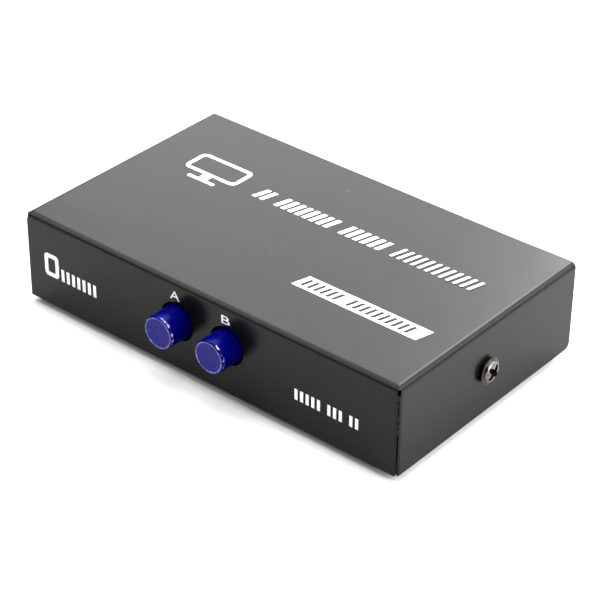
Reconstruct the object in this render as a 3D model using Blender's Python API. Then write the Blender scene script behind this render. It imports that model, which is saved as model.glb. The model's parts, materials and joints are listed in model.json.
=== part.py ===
"""Two-button video switch box: a bent steel case, a bank of interlocked push switches and three D sockets.

The origin is the middle of the whole box's footprint, buttons and jackscrews included, on the plane its
feet stand on. The buttons face -Y, the sockets face +Y and +Z is up. Lengths are in metres; MM turns
millimetres into metres.
"""

import math

import bmesh
import bpy
from mathutils import Matrix, Vector

MM = 0.001
GAP = 0.3 * MM

# Case: a cover (top, front and sides) over a tray (bottom and rear)
WIDTH = 130 * MM
DEPTH = 76.3 * MM
COVER_HEIGHT = 27 * MM
SHEET = 1.0 * MM
COVER_BEND = 1.7 * MM
TRAY_BEND = 1.4 * MM
FOOT_HEIGHT = 2.0 * MM
FOOT_RADIUS = 4.5 * MM
FOOT_INSET = 9 * MM
REAR_SAG = 0.5 * MM
CORNER_RADIUS = {"left": 0.5 * MM, "right": 1.4 * MM}
SEAM_GAP = 0.35 * MM
RELIEF_WIDTH = 0.9 * MM
RELIEF_HEIGHT = 1.6 * MM
RELIEF_BELOW_TOP = 0.8 * MM
REAR_RECESS = 0.55 * MM

# Buttons
BUTTON_PITCH = 17.5 * MM
BUTTON_Z = 16.8 * MM
BUTTON_HOLE_RADIUS = 5.8 * MM
CAP_RADIUS = 5.0 * MM
CAP_DRAFT = 0.12 * MM
CAP_ROUND = 0.45 * MM
CAP_PROUD = 7.1 * MM
CAP_A_EXTRA = 0.3 * MM
CAP_LENGTH = 9.75 * MM
TRAVEL = 4.5 * MM

# Switch bank
STEM = 3.2 * MM
STEM_CLEARANCE = 0.4 * MM
RAMP_SLOPE = 0.3
RAMP_THICKNESS = 1.6 * MM
FRAME_BEHIND_FRONT = 14.15 * MM
FRAME_SHEET = 0.8 * MM
HOUSING = Vector((10.6, 37, 8)) * MM
SPRING_RADIUS = 4.0 * MM
SPRING_WIRE = 0.27 * MM

# Circuit board
BOARD_WIDTH = 114 * MM
BOARD_BEHIND_FRONT = 11.65 * MM
BOARD_BEFORE_REAR = 3.15 * MM
BOARD_THICKNESS = 1.6 * MM

# D sockets, fifteen contacts each
SOCKET_PITCH = 40 * MM
SOCKET_Z = 19.1 * MM
FLANGE = Vector((30.8, 12.5)) * MM
SHELL_D = Vector((16.3, 7.9)) * MM
SHELL_SHEET = 0.45 * MM
SHELL_LENGTH = 5.9 * MM
JACK_SPACING = 25 * MM
CONTACT_PITCH = 2.29 * MM
CONTACT_ROWS = 1.98 * MM
JACK_LENGTH = 4.8 * MM

# Screws
SIDE_SCREW_Z = 15.2 * MM
SIDE_SCREW_BEHIND_FRONT = 37.15 * MM
SCREW_RADIUS = 1.4 * MM
SCREW_CLEARANCE = 0.35 * MM
BOARD_SCREW_X = 50 * MM
BOARD_SCREW_BEHIND_FRONT = 19.15 * MM

# Planes worked out from the sizes above
HALF_WIDTH = WIDTH / 2
OVERALL_DEPTH = CAP_A_EXTRA + CAP_PROUD + DEPTH - REAR_RECESS + GAP + JACK_LENGTH
FRONT = CAP_A_EXTRA + CAP_PROUD - OVERALL_DEPTH / 2
REAR = FRONT + DEPTH
CASE_MIDDLE = (FRONT + REAR) / 2
COVER_TOP = FOOT_HEIGHT + COVER_HEIGHT
TRAY_BOTTOM = FOOT_HEIGHT + GAP
TRAY_HALF_WIDTH = HALF_WIDTH - SHEET - GAP
TRAY_FRONT = FRONT + SHEET + GAP
TRAY_REAR = REAR - REAR_RECESS
TRAY_TOP = COVER_TOP - SHEET - REAR_SAG - 2 * GAP
BOARD_TOP = BUTTON_Z - HOUSING.z / 2 - GAP
BOARD_BOTTOM = BOARD_TOP - BOARD_THICKNESS
BOARD_FRONT = FRONT + BOARD_BEHIND_FRONT
BOARD_REAR = REAR - BOARD_BEFORE_REAR
BOARD_SCREW_Y = FRONT + BOARD_SCREW_BEHIND_FRONT
SIDE_SCREW_Y = FRONT + SIDE_SCREW_BEHIND_FRONT
FRAME_Y = FRONT + FRAME_BEHIND_FRONT
BAR_FRONT = FRAME_Y + FRAME_SHEET + GAP
HOUSING_FRONT = BAR_FRONT + FRAME_SHEET + GAP
HOUSING_REAR = HOUSING_FRONT + HOUSING.y
SHELL_FLANGE_REAR = TRAY_REAR - SHEET - GAP
BAR_TRAVEL = RAMP_SLOPE * TRAVEL
HOLE_RADIUS = SCREW_RADIUS + SCREW_CLEARANCE
CAP_FACE = FRONT - CAP_PROUD
CAP_BACK = CAP_FACE + CAP_LENGTH
COLLAR_FRONT = CAP_BACK + GAP
COLLAR_THICKNESS = 0.9 * MM

ROUND_STEPS = 32
FACING = {
    "up": Matrix.Identity(4),
    "front": Matrix.Rotation(math.pi / 2, 4, "X"),
    "rear": Matrix.Rotation(-math.pi / 2, 4, "X"),
    "right": Matrix.Rotation(math.pi / 2, 4, "Y"),
    "left": Matrix.Rotation(-math.pi / 2, 4, "Y"),
}


def make_material(name, colour, roughness, metallic=0.0):
    material = bpy.data.materials.new(name)
    material.use_nodes = True
    shader = material.node_tree.nodes["Principled BSDF"]
    shader.inputs["Base Color"].default_value = (*colour, 1)
    shader.inputs["Roughness"].default_value = roughness
    shader.inputs["Metallic"].default_value = metallic
    material.diffuse_color = (*colour, 1)
    return material


def add_object(name, bm, material=None, place=None, parent=None, smooth=False):
    """Turns a bmesh into a named object at the given place."""
    mesh = bpy.data.meshes.new(name)
    bmesh.ops.recalc_face_normals(bm, faces=bm.faces)
    bm.to_mesh(mesh)
    bm.free()
    return place_mesh(name, mesh, material, place, parent, smooth)


def place_mesh(name, mesh, material=None, place=None, parent=None, smooth=False):
    """Puts a mesh in the scene; copies of one piece share their mesh."""
    obj = bpy.data.objects.new(name, mesh)
    bpy.context.scene.collection.objects.link(obj)
    if material and not mesh.materials:
        mesh.materials.append(material)
    if smooth:
        mesh.shade_smooth()
        mesh.set_sharp_from_angle(angle=math.radians(40))
    obj.matrix_world = place or Matrix.Identity(4)
    if parent:
        obj.parent = parent
        obj.matrix_parent_inverse = parent.matrix_world.inverted()
    return obj


def add_slide(name, location):
    """An empty on a sliding joint's axis, for the pieces that move with it."""
    empty = bpy.data.objects.new(name, None)
    bpy.context.scene.collection.objects.link(empty)
    empty.matrix_world = Matrix.Translation(location)
    return empty


def facing(direction, location):
    """A place whose local +Z points the given way."""
    return Matrix.Translation(location) @ FACING[direction]


def combine(target, helper, operation):
    """Adds or removes the shape of a hidden helper."""
    helper.hide_render = True
    helper.display_type = "WIRE"
    modifier = target.modifiers.new(helper.name, "BOOLEAN")
    modifier.operation = operation
    modifier.solver = "EXACT"
    modifier.object = helper
    if target.parent:
        helper.parent = target.parent
        helper.matrix_parent_inverse = target.parent.matrix_world.inverted()


def soften(obj, width, segments=1):
    """Breaks the sharp edges."""
    modifier = obj.modifiers.new("broken edges", "BEVEL")
    modifier.width = width
    modifier.segments = segments
    modifier.limit_method = "ANGLE"
    modifier.angle_limit = math.radians(50)


def add_block(bm, low, high):
    low, high = Vector(low), Vector(high)
    size = Matrix.Diagonal(high - low).to_4x4()
    bmesh.ops.create_cube(bm, size=1, matrix=Matrix.Translation((low + high) / 2) @ size)


def add_prism(bm, outline, low, high):
    """Extrudes a flat outline from height low to height high along +Z."""
    base = bm.faces.new([bm.verts.new((x, y, low)) for x, y in outline])
    top = bmesh.ops.extrude_face_region(bm, geom=[base])["geom"]
    lift = Vector((0, 0, high - low))
    bmesh.ops.translate(bm, vec=lift, verts=[v for v in top if isinstance(v, bmesh.types.BMVert)])


def add_turned(bm, profile, steps=ROUND_STEPS):
    """Spins a profile of (radius, height) points about Z."""
    points = [bm.verts.new((radius, 0, height)) for radius, height in profile]
    edges = [bm.edges.new(pair) for pair in zip(points, points[1:])]
    bmesh.ops.spin(
        bm, geom=points + edges, axis=(0, 0, 1), cent=(0, 0, 0), angle=math.tau, steps=steps, use_merge=True
    )
    bmesh.ops.remove_doubles(bm, verts=bm.verts, dist=0.001 * MM)


def rod(radius, low, high, steps=ROUND_STEPS):
    """A bmesh holding one plain rod along Z."""
    bm = bmesh.new()
    add_turned(bm, [(0, high), (radius, high), (radius, low), (0, low)], steps)
    return bm


def quarter_arc(centre_radius, centre_height, radius, steps=4):
    """Profile points from the top of a rounded rim to its outer side."""
    turns = [math.pi / 2 * step / steps for step in range(steps + 1)]
    return [(centre_radius + radius * math.sin(t), centre_height + radius * math.cos(t)) for t in turns]


def regular_outline(radius, corners):
    """A regular polygon with a flat side up."""
    turns = [math.tau * (corner + 0.5) / corners for corner in range(corners)]
    return [(radius * math.cos(t), radius * math.sin(t)) for t in turns]


def rounded_outline(corners, radius, steps=4):
    """A convex outline with an arc at each corner."""
    points = []
    for index, corner in enumerate(corners):
        corner = Vector(corner)
        to_last = (Vector(corners[index - 1]) - corner).normalized()
        to_next = (Vector(corners[(index + 1) % len(corners)]) - corner).normalized()
        half_angle = to_last.angle(to_next) / 2
        centre = corner + (to_last + to_next).normalized() * radius / math.sin(half_angle)
        start = (corner + to_last * radius / math.tan(half_angle) - centre).normalized()
        end = (corner + to_next * radius / math.tan(half_angle) - centre).normalized()
        points += [centre + start.slerp(end, step / steps) * radius for step in range(steps + 1)]
    return points


def box_outline(width, height, radius=0.0):
    x, y = width / 2, height / 2
    corners = [(x, y), (-x, y), (-x, -y), (x, -y)]
    return rounded_outline(corners, radius) if radius else corners


def d_outline(width, height, radius):
    """The outline of a D socket: its long side up, and its ends sloping in by ten degrees."""
    slope = height * math.tan(math.radians(10))
    x, y = width / 2, height / 2
    return rounded_outline([(x, y), (-x, y), (slope - x, -y), (x - slope, -y)], radius)


def helix(name, radius, wire, length, turns, material, place, sides=5, steps=10):
    """A coil spring along +Z whose two ends are closed flat turns."""
    bm = bmesh.new()
    count = round(turns * steps)
    rings = []
    for index in range(count + 1):
        turn = index / steps
        climb = min(max((turn - 1) / (turns - 2), 0), 1)
        end_turn = 2.1 * wire * (min(turn, 1) + max(turn - turns + 1, 0))
        height = wire + end_turn + climb * (length - 2 * wire - 4.2 * wire)
        angle = math.tau * turn
        outward = Vector((math.cos(angle), math.sin(angle), 0))
        ring = []
        for side in range(sides):
            around = math.tau * side / sides
            offset = outward * (radius + wire * math.cos(around))
            ring.append(bm.verts.new(offset + Vector((0, 0, height + wire * math.sin(around)))))
        rings.append(ring)
    for ring, after in zip(rings, rings[1:]):
        for side in range(sides):
            beside = (side + 1) % sides
            bm.faces.new((ring[side], ring[beside], after[beside], after[side]))
    bm.faces.new(rings[0])
    bm.faces.new(rings[-1])
    add_object(name, bm, material, place, smooth=True)


def add_flange(bm, start, end, outward, up, bend, outline):
    """Bends sheet up from an edge; outline gives the flat part past the bend as (along, height)."""
    start, end, outward, up = Vector(start), Vector(end), Vector(outward), Vector(up)
    rows = []
    for step in range(5):
        turn = math.pi / 8 * step
        shift = outward * bend * math.sin(turn) + up * bend * (1 - math.cos(turn))
        rows.append([bm.verts.new(start + shift), bm.verts.new(end + shift)])
    for row, after in zip(rows, rows[1:]):
        bm.faces.new((row[0], row[1], after[1], after[0]))
    along = (end - start).normalized()
    foot = start + outward * bend
    flat = [bm.verts.new(foot + along * across + up * height) for across, height in outline]
    bm.faces.new([rows[-1][0], rows[-1][1]] + flat)


def thicken(obj, thickness):
    """Gives a bent surface its sheet thickness, on the side away from its normals."""
    modifier = obj.modifiers.new("sheet", "SOLIDIFY")
    modifier.thickness = thickness
    modifier.offset = -1
    modifier.use_even_offset = True
    modifier.use_quality_normals = True


# Cover


def rear_sag(x, y):
    """How far the unsupported rear edge of the top hangs down at one point."""
    across = 1 - (x / HALF_WIDTH) ** 2
    along = max(0, (y - FRONT) / DEPTH)
    return REAR_SAG * across * along**2


def cover_point(x, y, drop):
    return Vector((x, y, COVER_TOP - drop - rear_sag(x, y) * (drop < COVER_BEND)))


def cover_sheet():
    """The outer skin: the top, then bends and flanges that share mitred edges at the two front corners."""
    bm = bmesh.new()
    columns, rows, bend_steps = 14, 8, 5
    flat_x, flat_front = HALF_WIDTH - COVER_BEND, FRONT + COVER_BEND
    turns = [math.pi / 2 * step / bend_steps for step in range(1, bend_steps + 1)]
    levels = [(COVER_BEND * math.sin(t), COVER_BEND * (1 - math.cos(t))) for t in turns]
    levels.append((COVER_BEND, COVER_HEIGHT))
    ring_list = []
    for out, drop in [(0, 0)] + levels:
        side = flat_x + out
        front = flat_front - out
        depths = [REAR + (front - REAR) * row / rows for row in range(rows)]
        ring = [cover_point(-side, y, drop) for y in depths]
        ring += [cover_point(-side + 2 * side * column / columns, front, drop) for column in range(columns)]
        ring += [cover_point(side, y, drop) for y in [front] + depths[:0:-1] + [depths[0]]]
        ring_list.append([bm.verts.new(point) for point in ring])
    for ring, after in zip(ring_list, ring_list[1:]):
        for index in range(len(ring) - 1):
            bm.faces.new((ring[index], ring[index + 1], after[index + 1], after[index]))
    add_cover_top(bm, ring_list[0], columns, rows)
    return bm


def add_cover_top(bm, rim, columns, rows):
    """Fills the top inside its rim with a grid, so that it can sag."""
    left, front, right = rim[: rows + 1], rim[rows : rows + columns + 1], rim[rows + columns :][::-1]
    grid = [[left[0]] + [None] * (columns - 1) + [right[0]]]
    for row in range(1, rows):
        grid.append([left[row]] + [None] * (columns - 1) + [right[row]])
    for line in grid:
        for column in range(1, columns):
            x = line[0].co.x + (line[-1].co.x - line[0].co.x) * column / columns
            line[column] = bm.verts.new(cover_point(x, line[0].co.y, 0))
    grid.append(front)
    for line, after in zip(grid, grid[1:]):
        for column in range(columns):
            bm.faces.new((line[column], line[column + 1], after[column + 1], after[column]))


def corner_cutter(radius, thickness):
    """What a round corner leaves out: the corner is at the local origin, the sheet towards -X and +Y."""
    bm = bmesh.new()
    turns = [math.pi / 2 * step / 6 for step in range(7)]
    arc = [(radius * (math.sin(t) - 1), radius * (1 - math.cos(t))) for t in turns]
    add_prism(bm, arc + [(radius, radius), (radius, -radius), (-radius, -radius)], -thickness, thickness)
    return bm


def corner_seam(side):
    """The narrow gap between two flanges at a front corner, with a wider relief below the top."""
    bm = bmesh.new()
    gap, wide = SEAM_GAP / 2, RELIEF_WIDTH / 2
    high = COVER_TOP - RELIEF_BELOW_TOP
    low = high - RELIEF_HEIGHT
    outline = [(-gap, 0), (gap, 0), (gap, low), (wide, low), (wide, high), (-wide, high), (-wide, low), (-gap, low)]
    add_prism(bm, outline, -2.4 * SHEET, 0.5 * SHEET)
    turn = Matrix.Rotation(side * math.pi / 4, 4, "Z") @ Matrix.Rotation(math.pi / 2, 4, "X")
    bm.transform(Matrix.Translation((side * HALF_WIDTH, FRONT, 0)) @ turn)
    return bm


def build_cover(paint):
    """The cover with its holes and, at each front corner, the seam where its two flanges meet."""
    cover = add_object("top_cover", cover_sheet(), paint, smooth=True)
    thicken(cover, SHEET)
    for side, name in ((-1, "left"), (1, "right")):
        mirror = Matrix.Diagonal((side, 1, 1, 1))
        corner = corner_cutter(CORNER_RADIUS[name], 2 * COVER_TOP)
        corner.transform(Matrix.Translation((side * HALF_WIDTH, FRONT, 0)) @ mirror)
        combine(cover, add_object(f"front_corner_{name}", corner), "DIFFERENCE")
        combine(cover, add_object(f"seam_{name}", corner_seam(side)), "DIFFERENCE")
        button = rod(BUTTON_HOLE_RADIUS, -5 * MM, 5 * MM, 40)
        place = facing("front", (side * BUTTON_PITCH / 2, FRONT, BUTTON_Z))
        combine(cover, add_object(f"button_hole_{name}", button, place=place), "DIFFERENCE")
        screw = rod(HOLE_RADIUS, -5 * MM, 5 * MM, 20)
        place = facing("right", (side * HALF_WIDTH, SIDE_SCREW_Y, SIDE_SCREW_Z))
        combine(cover, add_object(f"screw_hole_{name}", screw, place=place), "DIFFERENCE")
        turn = Matrix.Rotation(math.pi / 2, 4, "Z") @ Matrix.Rotation(math.pi / 2, 4, "X")
        corner = corner_cutter(1.8 * MM, 2 * SHEET)
        corner.transform(Matrix.Translation((side * HALF_WIDTH, REAR, FOOT_HEIGHT)) @ turn)
        combine(cover, add_object(f"rear_corner_{name}", corner), "DIFFERENCE")
    soften(cover, 0.12 * MM)
    return cover


# Tray


def tray_sheet():
    """The tray's outer skin: a flat bottom with a flange bent up from each side."""
    bm = bmesh.new()
    x = TRAY_HALF_WIDTH - TRAY_BEND
    front, rear = TRAY_FRONT + TRAY_BEND, TRAY_REAR - TRAY_BEND
    relief = 1.0 * MM
    z = TRAY_BOTTOM
    bottom = [(-x, front), (-x + relief, front), (x - relief, front), (x, front)]
    bottom += [(x, front + relief), (x, rear - relief)]
    bottom += [(x, rear), (x - relief, rear), (-x + relief, rear), (-x, rear)]
    bottom += [(-x, rear - relief), (-x, front + relief)]
    bm.faces.new([bm.verts.new((px, py, z)) for px, py in bottom])
    up = (0, 0, 1)
    depth, width = rear - front - 2 * relief, 2 * (x - relief)
    low_wall, tab_half, tab_top, tab_slope = 7 * MM, 9 * MM, 17 * MM, 3 * MM
    middle = CASE_MIDDLE - front - relief
    wall = [(depth, low_wall), (middle + tab_half + tab_slope, low_wall), (middle + tab_half, tab_top)]
    wall += [(middle - tab_half, tab_top), (middle - tab_half - tab_slope, low_wall), (0, low_wall)]
    add_flange(bm, (x, front + relief, z), (x, rear - relief, z), (1, 0, 0), up, TRAY_BEND, wall)
    mirrored = [(depth - across, height) for across, height in reversed(wall)]
    add_flange(bm, (-x, rear - relief, z), (-x, front + relief, z), (-1, 0, 0), up, TRAY_BEND, mirrored)
    lip = [(width, 4 * MM), (0, 4 * MM)]
    add_flange(bm, (-x + relief, front, z), (x - relief, front, z), (0, -1, 0), up, TRAY_BEND, lip)
    past, top = TRAY_BEND + relief, TRAY_TOP - z
    panel = [(width, past), (width + past, past), (width + past, top), (-past, top), (-past, past), (0, past)]
    add_flange(bm, (x - relief, rear, z), (-x + relief, rear, z), (0, 1, 0), up, TRAY_BEND, panel)
    bmesh.ops.remove_doubles(bm, verts=bm.verts, dist=0.01 * MM)
    return bm


def socket_centres():
    """Name and middle of each socket, from the left as seen from the front."""
    names = ("input_b", "input_a", "output")
    return [(name, (index - 1) * SOCKET_PITCH) for index, name in enumerate(names)]


def build_tray(paint):
    tray = add_object("base_chassis", tray_sheet(), paint, smooth=True)
    thicken(tray, SHEET)
    cutters = bmesh.new()
    for _, x in socket_centres():
        hole = bmesh.new()
        add_prism(hole, d_outline(SHELL_D.x + 1 * MM, SHELL_D.y + 1 * MM, 2.6 * MM), -3 * MM, 3 * MM)
        hole.transform(Matrix.Translation((x, TRAY_REAR, SOCKET_Z)) @ Matrix.Rotation(math.pi / 2, 4, "X"))
        append(cutters, hole)
        for side in (-1, 1):
            place = facing("rear", (x + side * JACK_SPACING / 2, TRAY_REAR, SOCKET_Z))
            append(cutters, rod(HOLE_RADIUS, -3 * MM, 3 * MM, 16), place)
    for side in (-1, 1):
        place = facing("right", (side * TRAY_HALF_WIDTH, SIDE_SCREW_Y, SIDE_SCREW_Z))
        append(cutters, rod(HOLE_RADIUS, -3 * MM, 3 * MM, 16), place)
        place = facing("up", (side * BOARD_SCREW_X, BOARD_SCREW_Y, TRAY_BOTTOM))
        append(cutters, rod(1.9 * MM, -3 * MM, 3 * MM, 16), place)
    combine(tray, add_object("tray_holes", cutters), "DIFFERENCE")
    return tray


def append(target, source, place=None):
    """Moves one bmesh into another."""
    if place:
        source.transform(place)
    mesh = bpy.data.meshes.new("part of a cutter")
    source.to_mesh(mesh)
    source.free()
    target.from_mesh(mesh)
    bpy.data.meshes.remove(mesh)


def build_feet(rubber):
    bm = bmesh.new()
    edge = 0.25 * MM
    rim = quarter_arc(FOOT_RADIUS - edge, -edge, edge, 2)
    side = [(FOOT_RADIUS, -FOOT_HEIGHT + edge), (FOOT_RADIUS - edge, -FOOT_HEIGHT), (0, -FOOT_HEIGHT)]
    add_turned(bm, [(0, 0)] + rim + side, 24)
    x, front, rear = HALF_WIDTH - FOOT_INSET, FRONT + FOOT_INSET, REAR - FOOT_INSET
    foot = add_object("foot_front_left", bm, rubber, facing("up", (-x, front, FOOT_HEIGHT)), smooth=True)
    for name, place in (("front_right", (x, front)), ("rear_left", (-x, rear)), ("rear_right", (x, rear))):
        place_mesh(f"foot_{name}", foot.data, place=facing("up", (*place, FOOT_HEIGHT)))


# Fasteners


def recess_slot(span, width, depth):
    """One tapering slot of a cross recess; it opens upwards from height 0."""
    bm = bmesh.new()
    add_block(bm, (-span / 2, -width / 2, -depth), (span / 2, width / 2, depth / 3))
    for vert in bm.verts:
        if vert.co.z < 0:
            vert.co.x *= 0.32
            vert.co.y *= 0.8
    return bm


def screw_bmesh(flange_radius, flange_thickness, dome_radius, dome_height, length, steps):
    """A washer-head screw along +Z with its seat at height 0."""
    bm = bmesh.new()
    shoulder, edge = 0.5 * MM, 0.1 * MM
    base = flange_thickness + shoulder
    turns = [math.pi / 2 * step / 5 for step in range(6)]
    dome = [(dome_radius * math.sin(t), base + (dome_height - shoulder) * math.cos(t)) for t in turns]
    rim = [(flange_radius - edge, flange_thickness), (flange_radius, flange_thickness - edge)]
    shank = [(flange_radius, 0), (SCREW_RADIUS, 0), (SCREW_RADIUS, -length + 0.6 * MM), (0.6 * MM, -length)]
    add_turned(bm, dome + [(dome_radius, flange_thickness)] + rim + shank + [(0, -length)], steps)
    return bm


def build_side_screws(steel):
    flange_thickness, dome_height = 0.9 * MM, 1.2 * MM
    for side, name in ((-1, "left"), (1, "right")):
        place = facing(name, (side * (HALF_WIDTH + GAP), SIDE_SCREW_Y, SIDE_SCREW_Z))
        bm = screw_bmesh(3.8 * MM, flange_thickness, 2.95 * MM, dome_height, 6.5 * MM, 32)
        screw = add_object(f"side_screw_{name}", bm, steel, place, smooth=True)
        top = place @ Matrix.Translation((0, 0, flange_thickness + dome_height))
        for index, turn in enumerate((math.pi / 4, 3 * math.pi / 4)):
            slot = recess_slot(5.0 * MM, 0.9 * MM, 1.5 * MM)
            turned = top @ Matrix.Rotation(turn, 4, "Z")
            combine(screw, add_object(f"recess_{name}_{index}", slot, place=turned), "DIFFERENCE")


def build_board_fasteners(steel):
    screw_mesh = None
    stub = TRAY_BOTTOM + 0.05 * MM
    low, high = TRAY_BOTTOM + SHEET + GAP, BOARD_BOTTOM - GAP
    for side, name in ((-1, "left"), (1, "right")):
        middle = (side * BOARD_SCREW_X, BOARD_SCREW_Y, 0)
        bm = bmesh.new()
        add_prism(bm, regular_outline(2.9 * MM, 6), low, high)
        standoff = add_object(f"board_standoff_{name}", bm, steel, facing("up", middle))
        rivet = rod(1.6 * MM, stub, low + 1 * MM, 16)
        combine(standoff, add_object(f"standoff_rivet_{name}", rivet, place=facing("up", middle)), "UNION")
        bore = rod(HOLE_RADIUS, high - 5.5 * MM, high + 1 * MM, 16)
        combine(standoff, add_object(f"standoff_bore_{name}", bore, place=facing("up", middle)), "DIFFERENCE")
        place = facing("up", (side * BOARD_SCREW_X, BOARD_SCREW_Y, BOARD_TOP + GAP))
        if not screw_mesh:
            head = screw_bmesh(2.6 * MM, 0.4 * MM, 2.5 * MM, 1.3 * MM, 6.2 * MM, 16)
            screw_mesh = add_object(f"board_screw_{name}", head, steel, place, smooth=True).data
        else:
            place_mesh(f"board_screw_{name}", screw_mesh, place=place)


# Buttons and their switch bank


def button_middles():
    return (("a", -BUTTON_PITCH / 2), ("b", BUTTON_PITCH / 2))


def build_button(name, x, slide, blue, stem_white):
    """One cap on its stem; the stem carries a collar for the spring and a ramp for the latch bar."""
    extra = CAP_A_EXTRA if name == "a" else 0
    place = facing("front", (x, CAP_FACE - extra, BUTTON_Z))
    bm = bmesh.new()
    face_radius = CAP_RADIUS - CAP_DRAFT
    rim = quarter_arc(face_radius - CAP_ROUND, -CAP_ROUND, CAP_ROUND)
    add_turned(bm, [(0, 0)] + rim + [(CAP_RADIUS, -CAP_LENGTH), (0, -CAP_LENGTH)], 40)
    cap = add_object(f"button_cap_{name}", bm, blue, place, slide, smooth=True)
    socket = bmesh.new()
    half = STEM / 2 + 0.25 * MM
    add_block(socket, (-half, -half, -CAP_LENGTH - 1 * MM), (half, half, -2.4 * MM))
    combine(cap, add_object(f"cap_socket_{name}", socket, place=place), "DIFFERENCE")

    stem_front, stem_rear = CAP_FACE + 3 * MM, HOUSING_REAR - TRAVEL - 2.5 * MM
    half = STEM / 2
    bm = bmesh.new()
    add_block(bm, (-half, stem_front, -half), (half, stem_rear, half))
    middle = (x, 0, BUTTON_Z)
    plunger = add_object(f"plunger_{name}", bm, stem_white, facing("up", middle), slide)
    collar = rod(4.7 * MM, -COLLAR_THICKNESS, 0, 28)
    place = facing("front", (x, COLLAR_FRONT, BUTTON_Z))
    combine(plunger, add_object(f"collar_{name}", collar, place=place), "UNION")
    peak = BAR_FRONT - TRAVEL
    ramp = bmesh.new()
    blunt, reach = peak - 0.6 * MM, half + BAR_TRAVEL
    outline = [(0, BAR_FRONT), (0, blunt), (reach, blunt), (reach, peak), (half, BAR_FRONT)]
    add_prism(ramp, outline, -RAMP_THICKNESS / 2, RAMP_THICKNESS / 2)
    combine(plunger, add_object(f"ramp_{name}", ramp, place=facing("up", middle)), "UNION")


def build_housing(name, x, plastic):
    """One switch body: a block that the stem runs through, with a pocket for its ramp."""
    place = facing("up", (x, HOUSING_FRONT + HOUSING.y / 2, BUTTON_Z))
    bm = bmesh.new()
    add_block(bm, -HOUSING / 2, HOUSING / 2)
    housing = add_object(f"switch_housing_{name}", bm, plastic, place)
    soften(housing, 0.4 * MM, 2)
    half = STEM / 2 + STEM_CLEARANCE
    end = HOUSING.y / 2 + 1 * MM
    channel = bmesh.new()
    add_block(channel, (-half, -end, -half), (half, end, half))
    combine(housing, add_object(f"channel_{name}", channel, place=place), "DIFFERENCE")
    pocket = bmesh.new()
    reach, pocket_half = STEM / 2 + BAR_TRAVEL + GAP, RAMP_THICKNESS / 2 + GAP
    add_block(pocket, (0, -end, -pocket_half), (reach, TRAVEL - HOUSING.y / 2, pocket_half))
    combine(housing, add_object(f"pocket_{name}", pocket, place=place), "DIFFERENCE")


def add_window(target, name, left, right, height, y):
    """Cuts one window for a stem through a plate that stands across Y."""
    bm = bmesh.new()
    add_block(bm, (left, y - 2 * MM, BUTTON_Z - height), (right, y + 2 * MM, BUTTON_Z + height))
    combine(target, add_object(name, bm), "DIFFERENCE")


def build_latch(zinc, slide):
    """The frame that holds the two switches side by side, and the bar that slides behind it."""
    half, height = STEM / 2, STEM / 2 + GAP
    left, right, bend, lip = -20 * MM, 28 * MM, 1.2 * MM, 9 * MM
    low, high = BOARD_TOP + GAP, BUTTON_Z + HOUSING.z / 2 + GAP + FRAME_SHEET
    top_left, top_right = (left, FRAME_Y, high - bend), (right, FRAME_Y, high - bend)
    bm = bmesh.new()
    corners = [(left, FRAME_Y, low), (right, FRAME_Y, low), top_right, top_left]
    bm.faces.new([bm.verts.new(corner) for corner in corners])
    add_flange(bm, top_left, top_right, (0, 0, 1), (0, 1, 0), bend, [(right - left, lip), (0, lip)])
    bmesh.ops.remove_doubles(bm, verts=bm.verts, dist=0.01 * MM)
    frame = add_object("latch_frame", bm, zinc)
    thicken(frame, FRAME_SHEET)

    bar_right, bar_back = 20 * MM, BAR_FRONT + FRAME_SHEET
    bm = bmesh.new()
    add_block(bm, (-19.5 * MM, BAR_FRONT, BUTTON_Z - 3.4 * MM), (bar_right, bar_back, BUTTON_Z + 3.6 * MM))
    bar = add_object("latch_bar", bm, zinc, parent=slide)
    for name, x in button_middles():
        window_left, ramp_reach = x - half - GAP, x + half + BAR_TRAVEL + GAP
        add_window(frame, f"frame_window_{name}", window_left, ramp_reach, height, FRAME_Y)
        bar_left = window_left - BAR_TRAVEL
        bar_window_right = x + half + GAP if name == "a" else ramp_reach
        add_window(bar, f"bar_window_{name}", bar_left, bar_window_right, height + GAP, BAR_FRONT)

    window_end = 25.9 * MM
    add_window(frame, "spring_window", bar_right - 2 * GAP, window_end, 1.9 * MM, FRAME_Y)
    spring_start = bar_right + GAP
    place = facing("right", (spring_start, BAR_FRONT + GAP / 3, BUTTON_Z))
    length = window_end - GAP - spring_start
    helix("latch_spring", 1.35 * MM, 0.16 * MM, length, 7, zinc, place)


def build_board(laminate):
    place = facing("up", (0, 0, BOARD_BOTTOM))
    bm = bmesh.new()
    x = BOARD_WIDTH / 2
    corners = [(x, BOARD_REAR), (-x, BOARD_REAR), (-x, BOARD_FRONT), (x, BOARD_FRONT)]
    add_prism(bm, rounded_outline(corners, 1.5 * MM, 3), 0, BOARD_THICKNESS)
    board = add_object("circuit_board", bm, laminate, place)
    holes = bmesh.new()
    for side in (-1, 1):
        hole = rod(HOLE_RADIUS, -1 * MM, 3 * MM, 16)
        append(holes, hole, Matrix.Translation((side * BOARD_SCREW_X, BOARD_SCREW_Y, 0)))
    combine(board, add_object("board_holes", holes, place=place), "DIFFERENCE")


# Sockets


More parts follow.
